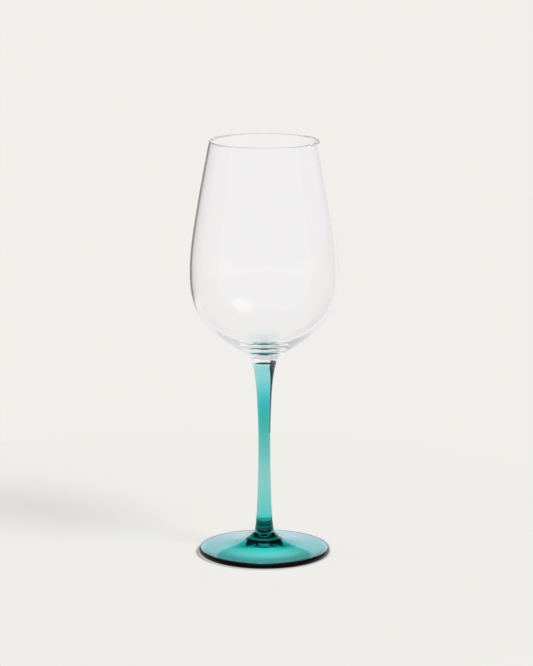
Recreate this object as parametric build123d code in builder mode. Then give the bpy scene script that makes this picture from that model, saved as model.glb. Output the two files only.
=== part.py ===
# Stemmed wine glass: a clear blown bowl, a coloured drawn stem and a coloured foot, fused end to end.
# Millimetres, +Z up. The origin is the centre of the ring that the foot rests on.
# Each piece is a solid of revolution, so each outline is half a section, drawn as radius and height.

from build123d import *
from math import cos, radians, sin
import os

# Driving dimensions
GLASS_HEIGHT = 235.0
RIM_RADIUS = 30.65
BOWL_RADIUS = 41.64
BOWL_WIDEST_Z = 160.0
WALL = 1.2  # blown wall, from the lip down to the widest place
WALL_LEAN = 11.5  # degrees that the wall leans in at the lip
BOWL_FLOOR_Z = 118.2  # lowest point of the inside

WELD_Z = 106.4  # where the clear bowl is fused to the coloured stem
WELD_RADIUS = 6.04
WELD_CROWN = 4.8  # the stem's end is domed, and the bowl's end is dished to match

WAIST_RADIUS = 3.42
WAIST_Z = 56.0
FOOT_WELD_Z = 18.5  # where the stem is fused to the foot
FOOT_WELD_RADIUS = 4.66

FOOT_RADIUS = 37.2
FOOT_EDGE = 2.95  # thickness of the rounded edge
SHOULDER_RADIUS = 5.42  # top of the conical boss in the middle of the foot
SHOULDER_Z = 11.8
BOSS_RADIUS = 10.5  # bottom of that cone
BOSS_Z = 7.3
RING_RADIUS = 33.0  # inner edge of the flat ring that touches the table
KICK = 3.5  # rise of the dished underside

# Worked out from them
LIP_ROUND = WALL / 2
LIP_CENTRE = Vector(RIM_RADIUS - LIP_ROUND, GLASS_HEIGHT - LIP_ROUND)
UP_WALL = Vector(-sin(radians(WALL_LEAN)), cos(radians(WALL_LEAN)))
ACROSS_WALL = Vector(cos(radians(WALL_LEAN)), sin(radians(WALL_LEAN)))
EDGE_ROUND = FOOT_EDGE / 2
EDGE_CENTRE_R = FOOT_RADIUS - EDGE_ROUND

# Slopes of the curves where they start and end, as radius and height
NECK_SLOPE = Vector(0.235, 1.0)  # the bowl's neck and the stem share it, so the weld doesn't show as a step
FOOT_WELD_SLOPE = Vector(0.09, -1.0)
SHOULDER_SLOPE = Vector(0.05, -1.0)
BOSS_FOOT_SLOPE = Vector(1.0, -0.34)
EDGE_SLOPE = Vector(1.0, -0.09)
RING_SLOPE = Vector(1.0, -0.03)
OUTWARD = Vector(1.0, 0.0)
STEADY = (1.0, 1.0)  # strength of both end slopes, which keeps a curve from bulging between its points

os.makedirs("parts", exist_ok=True)


# Bowl: clear and blown, with the thick floor and the short neck that the gather leaves
with BuildPart() as bowl:
    with BuildSketch(Plane.XZ):
        with BuildLine():
            outside = Spline(
                (WELD_RADIUS, WELD_Z),
                (7.02, 110.0),
                (8.9, 114.0),
                (12.3, 116.2),
                (21.4, 122.0),
                (30.3, 129.2),
                (38.0, 140.0),
                (BOWL_RADIUS, BOWL_WIDEST_Z),
                (38.75, 190.0),
                LIP_CENTRE + ACROSS_WALL * LIP_ROUND,
                tangents=(NECK_SLOPE, UP_WALL),
                tangent_scalars=STEADY,
            )
            lip = TangentArc(outside @ 1, LIP_CENTRE - ACROSS_WALL * LIP_ROUND, tangent=UP_WALL)
            inside = Spline(
                lip @ 1,
                (38.75 - WALL, 190.0),
                (BOWL_RADIUS - WALL, BOWL_WIDEST_Z),
                (36.8, 140.6),
                (28.9, 130.2),
                (19.6, 123.6),
                (10.4, 119.4),
                (0.0, BOWL_FLOOR_Z),
                tangents=(-UP_WALL, -OUTWARD),
                tangent_scalars=STEADY,
            )
            core = Line(inside @ 1, (0.0, WELD_Z + WELD_CROWN))
            TangentArc(core @ 1, outside @ 0, tangent=OUTWARD)
        make_face()
    revolve(axis=Axis.Z)
bowl.part.label = "bowl"
export_step(bowl.part, "parts/bowl.step")


# Stem: coloured, drawn to a waist, domed where it meets the bowl
with BuildPart() as stem:
    with BuildSketch(Plane.XZ):
        with BuildLine():
            dome = TangentArc((0.0, WELD_Z + WELD_CROWN), (WELD_RADIUS, WELD_Z), tangent=OUTWARD)
            drawn = Spline(
                dome @ 1,
                (5.55, 104.0),
                (4.25, 92.0),
                (3.52, 74.0),
                (WAIST_RADIUS, WAIST_Z),
                (3.85, 34.0),
                (FOOT_WELD_RADIUS, FOOT_WELD_Z),
                tangents=(-NECK_SLOPE, FOOT_WELD_SLOPE),
                tangent_scalars=STEADY,
            )
            Polyline(drawn @ 1, (0.0, FOOT_WELD_Z), dome @ 0)
        make_face()
    revolve(axis=Axis.Z)
stem.part.label = "stem"
export_step(stem.part, "parts/stem.step")


# Foot: coloured, a shallow cone with a rounded edge, a boss in the middle and a dished underside
with BuildPart() as foot:
    with BuildSketch(Plane.XZ):
        with BuildLine():
            collar = Spline(
                (FOOT_WELD_RADIUS, FOOT_WELD_Z),
                (5.12, 15.0),
                (SHOULDER_RADIUS, SHOULDER_Z),
                tangents=(FOOT_WELD_SLOPE, SHOULDER_SLOPE),
                tangent_scalars=STEADY,
            )
            cone = Line(collar @ 1, (BOSS_RADIUS, BOSS_Z))
            top = Spline(
                cone @ 1,
                (19.4, 5.27),
                (29.0, 3.72),
                (EDGE_CENTRE_R, FOOT_EDGE),
                tangents=(BOSS_FOOT_SLOPE, EDGE_SLOPE),
                tangent_scalars=STEADY,
            )
            edge = ThreePointArc(top @ 1, (FOOT_RADIUS, EDGE_ROUND), (EDGE_CENTRE_R, 0.0))
            ring = Line(edge @ 1, (RING_RADIUS, 0.0))
            kick = Spline(
                (0.0, KICK),
                (10.0, 2.4),
                (20.0, 1.15),
                (28.0, 0.35),
                ring @ 1,
                tangents=(OUTWARD, RING_SLOPE),
                tangent_scalars=STEADY,
            )
            Polyline(kick @ 0, (0.0, FOOT_WELD_Z), collar @ 0)
        make_face()
    revolve(axis=Axis.Z)
foot.part.label = "foot"
export_step(foot.part, "parts/foot.step")


for piece in (bowl, stem, foot):
    box = piece.part.bounding_box()
    heights = f"z {box.min.Z:.2f} to {box.max.Z:.2f}"
    print(f"{piece.part.label}: {piece.part.volume / 1000:.2f} cm3, {heights}, radius {box.max.X:.2f}")
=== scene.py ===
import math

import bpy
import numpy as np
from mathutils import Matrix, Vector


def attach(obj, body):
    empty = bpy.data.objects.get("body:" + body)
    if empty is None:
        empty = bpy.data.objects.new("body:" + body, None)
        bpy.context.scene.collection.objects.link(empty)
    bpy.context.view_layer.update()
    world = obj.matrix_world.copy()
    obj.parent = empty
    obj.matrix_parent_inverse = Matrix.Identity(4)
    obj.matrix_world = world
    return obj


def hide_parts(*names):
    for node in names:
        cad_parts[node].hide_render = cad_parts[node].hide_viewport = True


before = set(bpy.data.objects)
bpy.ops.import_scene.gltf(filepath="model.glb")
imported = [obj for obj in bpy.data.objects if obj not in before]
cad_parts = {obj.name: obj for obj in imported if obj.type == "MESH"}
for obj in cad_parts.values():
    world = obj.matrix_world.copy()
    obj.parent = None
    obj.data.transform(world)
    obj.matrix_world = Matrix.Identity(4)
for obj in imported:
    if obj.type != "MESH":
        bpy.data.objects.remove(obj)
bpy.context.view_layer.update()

# Wine glass: a clear blown bowl on a teal stem and foot, on a pale studio table.
# Scene units are metres, +Z up, and z = 0 is the table. The dictionaries of the bowl, stem and foot
# and of their finishes are in millimetres, except that waves and densities are for each metre.
# The dictionaries of the table and camera are in metres. Angles are degrees.

mm = 0.001
around = 360  # faces in each band of a turned piece
onAxis = 1e-7  # a radius below this is on the axis
outward = Vector((1.0, 0.0))  # straight away from the axis, in the (radius, height) plane
weldGap = 0.01  # each weld face is held this far off the joint, so that no two pieces share a face
weldRings = 12  # bands from the edge of a flat weld face to its middle


class Wire:
    # one socket, which Python's own operators turn into Math nodes
    def __init__(self, board, socket):
        self.board = board
        self.socket = socket

    def __add__(self, other):
        return self.board.maths("ADD", self, other)

    def __sub__(self, other):
        return self.board.maths("SUBTRACT", self, other)

    def __mul__(self, other):
        return self.board.maths("MULTIPLY", self, other)

    def __truediv__(self, other):
        return self.board.maths("DIVIDE", self, other)

    def __rsub__(self, other):
        return self.board.maths("SUBTRACT", other, self)

    def __rtruediv__(self, other):
        return self.board.maths("DIVIDE", other, self)

    __radd__ = __add__
    __rmul__ = __mul__


class Board:
    # the node tree of one material or of the world
    def __init__(self, owner):
        owner.use_nodes = True
        self.owner = owner
        self.tree = owner.node_tree
        self.tree.nodes.clear()

    def node(self, kind, settings=(), sockets=(), give=0):
        # give is the output wanted, a tuple of outputs, or None for a node without any
        made = self.tree.nodes.new(kind)
        for name, value in dict(settings).items():
            if name == "stops":
                while len(made.color_ramp.elements) < len(value):
                    made.color_ramp.elements.new(0.5)
                for stop, (place, tint) in zip(made.color_ramp.elements, value):
                    stop.position = place
                    stop.color = tint
            else:
                setattr(made, name, value)
        for name, value in dict(sockets).items():
            if isinstance(value, Wire):
                self.tree.links.new(value.socket, made.inputs[name])
            else:
                made.inputs[name].default_value = value
        if give is None:
            return None
        if isinstance(give, tuple):
            return [Wire(self, made.outputs[name]) for name in give]
        return Wire(self, made.outputs[give])

    def maths(self, operation, *values):
        return self.node("ShaderNodeMath", {"operation": operation}, dict(enumerate(values)))

    def length(self, x, y):
        return self.maths("SQRT", x * x + y * y)

    def ease(self, value, low, high):
        # 0 below low, 1 above high, with a smooth step between
        return self.node("ShaderNodeMapRange", {"interpolation_type": "SMOOTHSTEP"},
                         {"Value": value, "From Min": low, "From Max": high})

    def band(self, value, low, high, soft):
        # 1 between low and high
        return self.ease(value, low - soft, low + soft) * (1 - self.ease(value, high - soft, high + soft))

    def atLeast(self, count, number):
        return self.maths("GREATER_THAN", count, number - 0.5)

    def exactly(self, count, number):
        return self.maths("COMPARE", count, number, 0.1)

    def blend(self, share, first, second):
        # two colours mixed; 6, 7 and output 2 are the Mix node's colour sockets
        return self.node("ShaderNodeMix", {"data_type": "RGBA"}, {0: share, 6: first, 7: second}, give=2)

    def xyz(self, vector):
        return self.node("ShaderNodeSeparateXYZ", {}, {"Vector": vector}, give=("X", "Y", "Z"))


def colour(*rgb):
    return (*rgb, 1.0)


def scaled(rgb, factor):
    return colour(*[part * factor for part in rgb])


def throughPoints(points, startSlope, endSlope, step=0.35):
    # a smooth cubic line through (radius, height) points with given slopes at its ends
    knots = np.array([tuple(point) for point in points], float)
    gaps = np.linalg.norm(np.diff(knots, axis=0), axis=1)
    rises = np.diff(knots, axis=0) / gaps[:, None]
    rows = np.eye(len(knots))
    right = np.zeros((len(knots), 2))
    right[0] = Vector(startSlope).normalized()
    right[-1] = Vector(endSlope).normalized()
    for i in range(1, len(knots) - 1):
        before, after = gaps[i - 1], gaps[i]
        rows[i, i - 1:i + 2] = after, 2 * (before + after), before
        right[i] = 3 * (after * rises[i - 1] + before * rises[i])
    slopes = np.linalg.solve(rows, right)
    line = []
    for i, gap in enumerate(gaps):
        count = max(4, math.ceil(gap / step))
        for u in np.arange(count) / count:
            ends = (2 * u ** 3 - 3 * u ** 2 + 1) * knots[i] + (3 * u ** 2 - 2 * u ** 3) * knots[i + 1]
            bends = (u ** 3 - 2 * u ** 2 + u) * slopes[i] + (u ** 3 - u ** 2) * slopes[i + 1]
            line.append(ends + gap * bends)
    line.append(knots[-1])
    return [tuple(point) for point in line]


def straight(start, end, count):
    return [tuple(point) for point in np.linspace(start, end, count + 1)]


def halfRound(centre, start, count):
    # half a turn to the left round centre
    middle, first = Vector(centre), Vector(start)
    size = (first - middle).length
    turn = math.atan2(first.y - middle.y, first.x - middle.x)
    return [(middle.x + size * math.cos(turn + math.pi * i / count),
             middle.y + size * math.sin(turn + math.pi * i / count)) for i in range(count + 1)]


def turned(name, outline, creases, finishes, slotOf):
    # a closed body turned round the axis; outline runs from the axis back to it
    rings, points = [], []
    for radius, height in outline:
        if radius < onAxis:
            rings.append([len(points)])
            points.append((0.0, 0.0, height * mm))
        else:
            rings.append(list(range(len(points), len(points) + around)))
            points += [(radius * mm * math.cos(turn), radius * mm * math.sin(turn), height * mm)
                       for turn in np.arange(around) * 2 * math.pi / around]
    faces, slots, corners = [], [], []
    for k, (low, high) in enumerate(zip(rings, rings[1:])):
        for i in range(around):
            j = (i + 1) % around
            if len(low) == 1:
                faces.append((low[0], high[j], high[i]))
                corners.append(((k, i + 0.5), (k + 1, i + 1), (k + 1, i)))
            elif len(high) == 1:
                faces.append((low[i], low[j], high[0]))
                corners.append(((k, i), (k, i + 1), (k + 1, i + 0.5)))
            else:
                faces.append((low[i], low[j], high[j], high[i]))
                corners.append(((k, i), (k, i + 1), (k + 1, i + 1), (k + 1, i)))
            slots.append(slotOf(k))
    mesh = bpy.data.meshes.new(name)
    mesh.from_pydata(points, [], faces)
    mesh.polygons.foreach_set("use_smooth", [True] * len(faces))
    mesh.polygons.foreach_set("material_index", slots)
    # the edges round a crease ring are sharp
    ringOf = np.concatenate([[k] * len(ring) for k, ring in enumerate(rings)])
    ends = np.zeros(len(mesh.edges) * 2, int)
    mesh.edges.foreach_get("vertices", ends)
    ends = ringOf[ends.reshape(-1, 2)]
    mesh.edges.foreach_set("use_edge_sharp", (ends[:, 0] == ends[:, 1]) & np.isin(ends[:, 0], creases))
    # the map goes round the piece and along its outline
    steps = np.linalg.norm(np.diff(np.array(outline), axis=0), axis=1)
    lengths = np.concatenate([[0], np.cumsum(steps)])
    spread = mesh.uv_layers.new(name="turned")
    spread.data.foreach_set("uv", [x for face in corners for k, i in face
                                   for x in (i / around, lengths[k] / lengths[-1])])
    for finish in finishes:
        mesh.materials.append(finish)
    mesh.update()
    made = bpy.data.objects.new(name, mesh)
    bpy.context.scene.collection.objects.link(made)
    return made


def markSkin(piece, skinOf):
    # face attribute that the glass finishes read: 1 on glass, less on the lip, 0 on a weld face
    skin = piece.data.attributes.new("skin", "FLOAT", "FACE")
    skin.data.foreach_set("value", [float(skinOf(face)) for face in piece.data.polygons])


def wavy(board, place, finish):
    # the slight unevenness of hot-worked glass
    waves = board.node("ShaderNodeTexNoise", {}, {
        "Vector": place, "Scale": finish["wavesPerMetre"], "Detail": finish["waveDetail"]})
    return board.node("ShaderNodeBump", {}, {
        "Height": waves, "Distance": finish["waviness"] * mm, "Strength": 1.0})


clear = dict(ior=1.5, waviness=0.012, wavesPerMetre=28.0, waveDetail=1.0)


def clearGlass():
    board = Board(bpy.data.materials.new("clearBlownGlass"))
    place = board.node("ShaderNodeTexCoord", give="Object")
    skin = board.node("ShaderNodeAttribute", {"attribute_name": "skin"}, give="Fac")
    glass = board.node("ShaderNodeBsdfPrincipled", {}, {
        "Base Color": colour(1, 1, 1), "Roughness": 1 - skin, "IOR": clear["ior"],
        "Transmission Weight": 1.0, "Alpha": skin, "Normal": wavy(board, place, clear)})
    board.node("ShaderNodeOutputMaterial", {}, {"Surface": glass}, give=None)
    return board.owner


# painted shade: the size and dark tint of the eye on the bowl's weld face
weldEyeShade = dict(inner=3.2, outer=4.2, tint=(0.005, 0.08, 0.09))


def weldGlass():
    # where the clear bowl passes into the stem there is no surface, so this face doesn't show
    board = Board(bpy.data.materials.new("bowlWeld"))
    x, y, z = board.xyz(board.node("ShaderNodeTexCoord", give="Object"))
    through = board.node("ShaderNodeBsdfTransparent")
    # painted shade: a dark tint on the weld face round the axis, which shows as a dark eye under the bowl's
    # floor in place of the dark line that refraction gives there
    eye = board.node("ShaderNodeBsdfTransparent", {}, {"Color": colour(*weldEyeShade["tint"])})
    outside = board.ease(board.length(x, y) / mm, weldEyeShade["inner"], weldEyeShade["outer"])
    mixed = board.node("ShaderNodeMixShader", {}, {0: outside, 1: eye, 2: through})
    board.node("ShaderNodeOutputMaterial", {}, {"Surface": mixed}, give=None)
    return board.owner


# the bowl meets the stem at weldZ; its top lipDepth is a little rough and see-through, by lipSkin,
# which keeps the rim faint
bowl = dict(height=235.0, rimRadius=30.65, widest=41.64, widestZ=160.0, wall=1.2, lean=11.5, floorZ=118.2,
            shoulder=(38.75, 190.0), weldZ=106.4, weldRadius=6.04, weldCrown=4.8, weldSlope=(0.235, 1.0),
            domeSteps=24, lipSteps=24, lipDepth=0.7, lipSkin=0.6)


def weldDome(lift):
    # the domed weld of bowl and stem from the axis out, lifted everywhere but at its edge
    rise = bowl["weldCrown"]
    size = (bowl["weldRadius"] ** 2 + rise ** 2) / (2 * rise)
    centre = bowl["weldZ"] + rise - size
    dome = [(radius, centre + math.sqrt(size ** 2 - radius ** 2))
            for radius in np.linspace(0, bowl["weldRadius"], bowl["domeSteps"] + 1)]
    return [(radius, height + lift) for radius, height in dome[:-1]] + dome[-1:]


def blowBowl():
    lean = math.radians(bowl["lean"])
    up = Vector((-math.sin(lean), math.cos(lean)))
    across = Vector((math.cos(lean), math.sin(lean)))
    half = bowl["wall"] / 2
    lipCentre = Vector((bowl["rimRadius"] - half, bowl["height"] - half))
    shoulderR, shoulderZ = bowl["shoulder"]
    outside = throughPoints(
        [(bowl["weldRadius"], bowl["weldZ"]), (7.02, 110.0), (8.9, 114.0), (12.3, 116.2), (21.4, 122.0),
         (30.3, 129.2), (38.0, 140.0), (bowl["widest"], bowl["widestZ"]), bowl["shoulder"],
         lipCentre + across * half],
        bowl["weldSlope"], up)
    lip = halfRound(lipCentre, lipCentre + across * half, bowl["lipSteps"])
    inside = throughPoints(
        [lipCentre - across * half, (shoulderR - bowl["wall"], shoulderZ),
         (bowl["widest"] - bowl["wall"], bowl["widestZ"]), (36.8, 140.6), (28.9, 130.2), (19.6, 123.6),
         (10.4, 119.4), (0.0, bowl["floorZ"])],
        -up, -outward)
    cup = weldDome(weldGap)
    weldRing = len(cup) - 1
    made = turned("bowlBlown", cup + outside[1:] + lip[1:-1] + inside, [weldRing],
                  [clearGlass(), weldGlass()], lambda band: int(band < weldRing))
    lipFrom = (bowl["height"] - bowl["lipDepth"]) * mm
    markSkin(made, lambda face: bowl["lipSkin"] if face.center.z > lipFrom else 1.0)
    return made


bowlPiece = blowBowl()
print("bowl blown,", len(bowlPiece.data.polygons), "faces")

# mirror below 1 weakens the reflections seen face on and leaves the grazing ones
teal = dict(ior=1.5, tint=(0.056, 0.786, 0.773), mirror=0.1,
            waviness=0.01, wavesPerMetre=45.0, waveDetail=1.0)


def tealGlass(finish, rim=None):
    # glass coloured in depth. The surface tint by height or radius is not in the real glass: it stands
    # in for light and for the dark edge lines that this simple studio doesn't give
    board = Board(bpy.data.materials.new(finish["name"]))
    place = board.node("ShaderNodeTexCoord", give="Object")
    skin = board.node("ShaderNodeAttribute", {"attribute_name": "skin"}, give="Fac")
    x, y, z = board.xyz(place)
    away = z if finish["along"] == "height" else board.length(x, y)
    stops = [(at / finish["span"], colour(*tint)) for at, tint in finish["stops"]]
    tint = board.node("ShaderNodeValToRGB", {"stops": stops}, {"Fac": away / (finish["span"] * mm)},
                      give="Color")
    # painted shade: a dark band on the rounded edge of the foot, when a rim is given
    if rim:
        atRim = board.ease(away / mm, rim["inner"], rim["outer"])
        underTop = 1 - board.ease(z / mm, rim["low"], rim["high"])
        tint = board.blend(atRim * underTop, tint, colour(*rim["tint"]))
    glass = board.node("ShaderNodeBsdfPrincipled", {}, {
        "Base Color": tint, "Roughness": 0.0, "IOR": teal["ior"],
        "Specular Tint": colour(teal["mirror"], teal["mirror"], teal["mirror"]),
        "Transmission Weight": 1.0, "Alpha": skin, "Normal": wavy(board, place, teal)})
    depth = board.node("ShaderNodeVolumeAbsorption", {}, {
        "Color": colour(*teal["tint"]), "Density": finish["density"]})
    board.node("ShaderNodeOutputMaterial", {}, {"Surface": glass, "Volume": depth}, give=None)
    return board.owner


# stops are (height, tint), the glass's own colour mixed with painted light and shade: painted shade dark at
# the foot, deeper again two thirds of the way up, painted light palest at the top
stemTealAndShade = dict(name="tealDrawnGlass", density=108.0, along="height", span=120.0, stops=(
    (18.5, (0.003, 0.16, 0.17)), (18.9, (0.01, 0.3, 0.3)), (19.6, (0.2, 0.8, 0.8)),
    (25.0, (0.38, 0.82, 0.79)), (38.0, (0.56, 0.83, 0.80)), (48.0, (0.54, 0.80, 0.78)),
    (56.0, (0.35, 0.73, 0.72)), (66.0, (0.23, 0.66, 0.64)), (76.0, (0.11, 0.60, 0.58)),
    (84.0, (0.10, 0.63, 0.66)), (90.0, (0.17, 0.72, 0.76)), (97.0, (0.48, 0.86, 0.94)),
    (104.0, (1.0, 0.95, 1.0))))
stem = dict(waist=3.42, waistZ=56.0, footWeldRadius=4.66, footWeldZ=18.5, footWeldSlope=(0.09, -1.0))


def drawStem():
    dome = weldDome(-weldGap)
    side = throughPoints(
        [(bowl["weldRadius"], bowl["weldZ"]), (5.55, 104.0), (4.25, 92.0), (3.52, 74.0),
         (stem["waist"], stem["waistZ"]), (3.85, 34.0), (stem["footWeldRadius"], stem["footWeldZ"])],
        -Vector(bowl["weldSlope"]), stem["footWeldSlope"])
    endZ = stem["footWeldZ"] + weldGap
    end = straight((stem["footWeldRadius"], endZ), (0.0, endZ), weldRings)[1:]
    outline = (dome + side[1:] + end)[::-1]
    low, high = len(end), len(outline) - len(dome)
    made = turned("stemDrawn", outline, [low, high], [tealGlass(stemTealAndShade)], lambda band: 0)
    markSkin(made, lambda face: low <= face.index // around < high)
    return made


stemPiece = drawStem()
print("stem drawn,", len(stemPiece.data.polygons), "faces")

# stops are (radius, tint), the glass's own colour mixed with painted light and shade; the near-black ones are
# painted shade rings round the top and bottom of the boss, and the light and dark rings between them are
# painted light and shade
footTealAndShade = dict(name="tealSpunGlass", density=100.0, along="radius", span=38.0, stops=(
    (4.6, (0.0003, 0.30, 0.28)), (5.03, (0.0003, 0.30, 0.28)), (5.10, (0.0001, 0.001, 0.001)),
    (5.27, (0.0001, 0.001, 0.001)), (5.34, (0.15, 0.5, 0.5)), (5.6, (0.3, 0.9, 0.9)),
    (6.4, (0.06, 0.4, 0.4)), (7.0, (0.35, 0.95, 0.95)), (7.7, (0.12, 0.6, 0.6)), (8.3, (0.5, 0.98, 0.98)),
    (8.9, (0.05, 0.3, 0.3)), (9.3, (0.0005, 0.003, 0.003)), (10.45, (0.0005, 0.003, 0.003)),
    (10.8, (0.12, 0.95, 0.9)), (12.2, (0.03, 0.85, 0.82)), (15.2, (0.04, 0.9, 0.86)),
    (17.6, (0.25, 1.0, 0.98)), (33.5, (0.36, 1.0, 1.0)), (35.2, (0.7, 1.0, 1.0))))
# painted shade: a near-black band round the foot's rounded edge, below its top
footRimShade = dict(inner=35.6, outer=36.1, low=2.5, high=2.9, tint=(0.0, 0.0004, 0.0004))
foot = dict(radius=37.2, edge=2.95, shoulder=(5.42, 11.8), boss=(10.5, 7.3), ring=33.0, kick=3.5,
            shoulderSlope=(0.05, -1.0), bossSlope=(1.0, -0.34), edgeSlope=(1.0, -0.09),
            ringSlope=(1.0, -0.03), ringSteps=6, edgeSteps=40, coneSteps=12, collarStep=0.2)


def spinFoot():
    half = foot["edge"] / 2
    edgeR = foot["radius"] - half
    kick = throughPoints([(0.0, foot["kick"]), (10.0, 2.4), (20.0, 1.15), (28.0, 0.35), (foot["ring"], 0.0)],
                         outward, foot["ringSlope"])
    ring = straight((foot["ring"], 0.0), (edgeR, 0.0), foot["ringSteps"])
    edge = halfRound((edgeR, half), (edgeR, 0.0), foot["edgeSteps"])
    top = throughPoints([foot["boss"], (19.4, 5.27), (29.0, 3.72), (edgeR, foot["edge"])],
                        foot["bossSlope"], foot["edgeSlope"])[::-1]
    cone = straight(foot["boss"], foot["shoulder"], foot["coneSteps"])
    collar = throughPoints([(stem["footWeldRadius"], stem["footWeldZ"]), (5.12, 15.0), foot["shoulder"]],
                           stem["footWeldSlope"], foot["shoulderSlope"], foot["collarStep"])[::-1]
    endZ = stem["footWeldZ"] - weldGap
    end = straight((stem["footWeldRadius"], endZ), (0.0, endZ), weldRings)[1:]
    outline = kick + ring[1:-1] + edge + top[1:] + cone[1:] + collar[1:] + end
    weldRing = len(outline) - 1 - len(end)
    shoulderRing = weldRing - (len(collar) - 1)
    bossRing = shoulderRing - (len(cone) - 1)
    made = turned("footSpun", outline, [weldRing, bossRing, shoulderRing], [tealGlass(footTealAndShade, footRimShade)],
                  lambda band: 0)
    markSkin(made, lambda face: face.index // around < weldRing)
    return made


footPiece = spinFoot()
print("foot spun,", len(footPiece.data.polygons), "faces")

for piece, node, slot in ((bowlPiece, "bowl", "clear_glass"), (stemPiece, "stem", "teal_glass"),
                          (footPiece, "foot", "teal_glass")):
    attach(piece, "root")
    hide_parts(node)

# own is the paper's own light and reflects is how much of its colour it scatters. The glow is a painted pool
# of light, standing in for light that the glass gathers under the front of the foot; the paper under the rest
# of the foot is painted duller as shade, and contact is a painted thin shadow round the foot's edge.
table = dict(paper=(0.871, 0.863, 0.831), own=0.72, reflects=0.92,
             radius=0.27, middle=(-0.04, 0.02), gap=0.00005, sides=96,
             glow=1.4, glowAt=-0.004, glowSize=(0.030, 0.022), glowFade=(0.4, 1.0),
             underFootShade=0.6, underFootShadeFade=(0.033, 0.0365),
             contact=0.3, contactAt=-0.0007, contactRing=(0.0366, 0.0378), contactSoft=0.001)


def layTable():
    paper = table["paper"]
    board = Board(bpy.data.materials.new("palePaper"))
    x, y, z = board.xyz(board.node("ShaderNodeTexCoord", give="Object"))
    dull = board.node("ShaderNodeBsdfDiffuse", {}, {"Color": scaled(paper, table["reflects"])})
    # painted light and shade on the paper: a pool of light under the front of the foot, duller paper under
    # the rest, and a thin shadow round its edge
    glowX = x / table["glowSize"][0]
    glowY = (y - table["glowAt"]) / table["glowSize"][1]
    gathered = 1 - board.ease(board.length(glowX, glowY), *table["glowFade"])
    # painted shade: the paper under the foot made duller
    underFootShade = 1 - board.ease(board.length(x, y), *table["underFootShadeFade"])
    # painted shadow: a thin darker ring on the paper round the foot's edge
    contact = board.band(board.length(x - table["contactAt"], y), *table["contactRing"], table["contactSoft"])
    lit = board.blend(underFootShade, colour(*paper), scaled(paper, table["underFootShade"]))
    lit = board.blend(contact, lit, scaled(paper, table["contact"]))
    lit = board.blend(gathered, lit, scaled(paper, table["glow"]))
    own = board.node("ShaderNodeEmission", {}, {"Color": lit, "Strength": table["own"]})
    both = board.node("ShaderNodeAddShader", {}, {0: dull, 1: own})
    board.node("ShaderNodeOutputMaterial", {}, {"Surface": both}, give=None)

    mesh = bpy.data.meshes.new("table")
    sides, size = table["sides"], table["radius"]
    mesh.from_pydata([(table["middle"][0] + size * math.cos(2 * math.pi * i / sides),
                       table["middle"][1] + size * math.sin(2 * math.pi * i / sides), -table["gap"])
                      for i in range(sides)], [], [list(range(sides))])
    mesh.materials.append(board.owner)
    made = bpy.data.objects.new("table", mesh)
    bpy.context.scene.collection.objects.link(made)


layTable()
print("table laid")

# The studio is a stage set for the front view: what the glass mirrors and what shows through it are
# given apart. Places in it are a compass angle from +Y, clockwise, and a height above the horizon.
# The wall is everything within wallSpan of +Y, and the front is the rest, behind the camera.
studio = dict(
    paper=table["paper"], through=(0.871, 0.863, 0.850), horizon=(-3.0, 1.0),
    plainWall=(0.86, 0.86, 0.86), dullWall=(0.60, 0.61, 0.66), wall=(1.12, 0.99, 1.16),
    front=(0.80, 0.76, 0.92), plainFront=(0.80, 0.80, 0.80), frontFloor=(1.08, 1.02, 1.12),
    wallSpan=100.0, wallSoft=6.0, high=(0.03, 0.03, 0.035), highFrom=23.0, highSoft=0.5,
    shade=(0.02, 0.02, 0.025), shadeSoft=3.0,
    glassShade=(-96.0, -19.0), glassShadeHeight=(-21.0, 24.0), narrowBelow=4.0, narrowing=1.7,
    mirrorShade=(-90.0, -11.0), mirrorShadeHeight=(-17.0, 24.0), mirrorShadeFade=96.0,
    boxToward=(124.0, 52.0), boxColour=(1.9, 1.9, 1.87), boxInner=8.4, boxOuter=19.6,
    fill=(0.07, 0.07, 0.07),
)
key = dict(toward=(125.0, 44.0), size=22.0, strength=0.86)


def towards(compass, height):
    turn, lift = math.radians(compass), math.radians(height)
    return Vector((math.sin(turn) * math.cos(lift), math.cos(turn) * math.cos(lift), math.sin(lift)))


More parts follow.
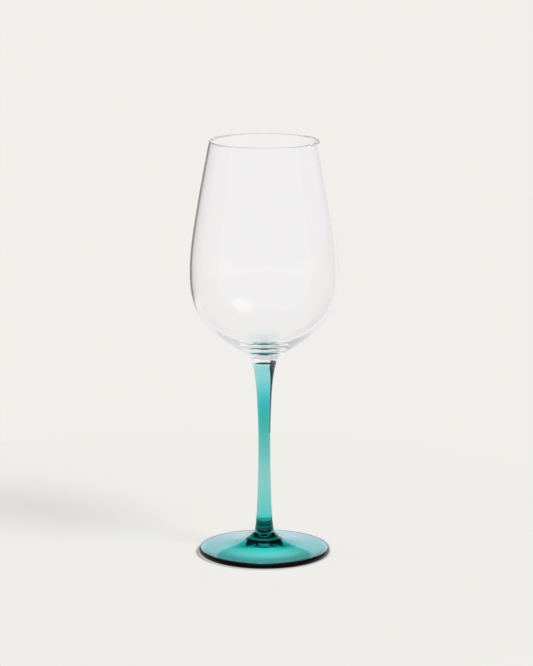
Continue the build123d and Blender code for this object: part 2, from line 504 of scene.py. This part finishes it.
def lightStudio():
    world = bpy.data.worlds.new("studio")
    bpy.context.scene.world = world
    board = Board(world)
    way = board.node("ShaderNodeTexCoord", give="Generated")
    x, y, z = board.xyz(way)
    compass = board.maths("ARCTAN2", x, y) * (180 / math.pi)
    height = board.maths("ARCSINE", z) * (180 / math.pi)
    # passed counts the glass surfaces that a ray has crossed, mirrored its reflections
    camera, transmitted, passed, mirrored, scattered = board.node("ShaderNodeLightPath", give=(
        "Is Camera Ray", "Is Transmission Ray", "Transmission Depth", "Glossy Depth", "Diffuse Depth"))
    reflected = board.atLeast(mirrored, 1)
    once = board.exactly(mirrored, 1)

    # walls and floor: plain when seen through glass, tinted when mirrored, dull when mirrored inside it
    wallSide = board.band(compass, -studio["wallSpan"], studio["wallSpan"], studio["wallSoft"])
    front = board.blend(reflected, colour(*studio["plainFront"]), colour(*studio["front"]))
    inner = board.blend(board.atLeast(passed, 1), colour(*studio["wall"]), colour(*studio["dullWall"]))
    wall = board.blend(reflected, colour(*studio["plainWall"]), inner)
    walls = board.blend(wallSide, front, wall)
    floor = board.blend(reflected * (1 - wallSide), colour(*studio["paper"]), colour(*studio["frontFloor"]))
    room = board.blend(board.ease(height, *studio["horizon"]), floor, walls)

    # dark above the wall, for the first reflection near the outside of a piece
    highFrom, highSoft = studio["highFrom"], studio["highSoft"]
    above = board.ease(height, highFrom - highSoft, highFrom + highSoft)
    outer = once * (1 - board.atLeast(passed, 3))
    room = board.blend(above * wallSide * outer, room, colour(*studio["high"]))

    # the dark side of the room, sharp through solid glass and fading round the corner in a reflection
    soft = studio["shadeSoft"]
    left, right = studio["glassShade"]
    narrowed = compass + board.maths("MAXIMUM", studio["narrowBelow"] - height, 0.0) * studio["narrowing"]
    dark = board.ease(compass, left - soft, left + soft)
    dark = dark * (1 - board.ease(narrowed, right - soft, right + soft))
    dark = dark * board.band(height, *studio["glassShadeHeight"], soft)
    fading = board.band(compass, *studio["mirrorShade"], soft)
    fading = fading * (compass - studio["mirrorShade"][0]) / studio["mirrorShadeFade"]
    fading = fading * board.band(height, *studio["mirrorShadeHeight"], soft)
    inGlass = board.atLeast(passed, 1) * (1 - reflected)
    room = board.blend(dark * inGlass + fading * (1 - inGlass), room, colour(*studio["shade"]))

    # a soft box, which gives the bowl its soft bright spot
    atBox = board.node("ShaderNodeVectorMath", {"operation": "DOT_PRODUCT"},
                       {0: way, 1: towards(*studio["boxToward"])}, give="Value")
    boxEdge = [math.cos(math.radians(studio[side])) for side in ("boxOuter", "boxInner")]
    room = board.blend(board.ease(atBox, *boxEdge), room, colour(*studio["boxColour"]))

    # past both walls of the bowl the backdrop is even, and so it is for the camera
    through = board.atLeast(passed, 4) * (1 - once)
    room = board.blend(through, room, colour(*studio["through"]))
    seen = board.blend(camera, room, colour(*studio["paper"]))

    # light that reaches the table through the glass comes straight from the key
    half = math.radians(key["size"] / 2)
    near = board.node("ShaderNodeVectorMath", {"operation": "DOT_PRODUCT"},
                      {0: way, 1: towards(*key["toward"])}, give="Value")
    disc = board.maths("GREATER_THAN", near, math.cos(half)) * transmitted
    bright = key["strength"] / (math.pi * math.sin(half) ** 2)
    falling = board.blend(disc, colour(*studio["fill"]), colour(bright, bright, bright))
    light = board.blend(board.atLeast(scattered, 1), seen, falling)
    sky = board.node("ShaderNodeBackground", {}, {"Color": light, "Strength": 1.0})
    board.node("ShaderNodeOutputWorld", {}, {"Surface": sky}, give=None)


def hangKey():
    lamp = bpy.data.lights.new("key", "SUN")
    lamp.energy = key["strength"]
    lamp.angle = math.radians(key["size"])
    made = bpy.data.objects.new("key", lamp)
    made.rotation_mode = "QUATERNION"
    made.rotation_quaternion = towards(*key["toward"]).to_track_quat("Z", "Y")
    made.visible_glossy = False
    made.visible_transmission = False
    bpy.context.scene.collection.objects.link(made)


lightStudio()
hangKey()
print("studio lit")

# the lip and the foot's edge pass a ray round inside the glass many times, so bounces is high
view = dict(place=(0.00124, -1.606, 0.455), down=11.56, lens=158.45, sensor=36.0, near=0.05, far=20.0,
            bounces=200)


def setCamera():
    data = bpy.data.cameras.new("camera")
    data.lens = view["lens"]
    data.sensor_width = view["sensor"]
    data.clip_start = view["near"]
    data.clip_end = view["far"]
    made = bpy.data.objects.new("camera", data)
    made.location = view["place"]
    made.rotation_euler = (math.radians(90 - view["down"]), 0.0, 0.0)
    scene = bpy.context.scene
    scene.collection.objects.link(made)
    scene.camera = made
    scene.view_settings.view_transform = "Standard"
    scene.cycles.sample_clamp_indirect = 0.0
    scene.cycles.max_bounces = view["bounces"]
    scene.cycles.transmission_bounces = view["bounces"]
    scene.cycles.glossy_bounces = view["bounces"]
    scene.cycles.transparent_max_bounces = view["bounces"]


setCamera()
print("camera set")
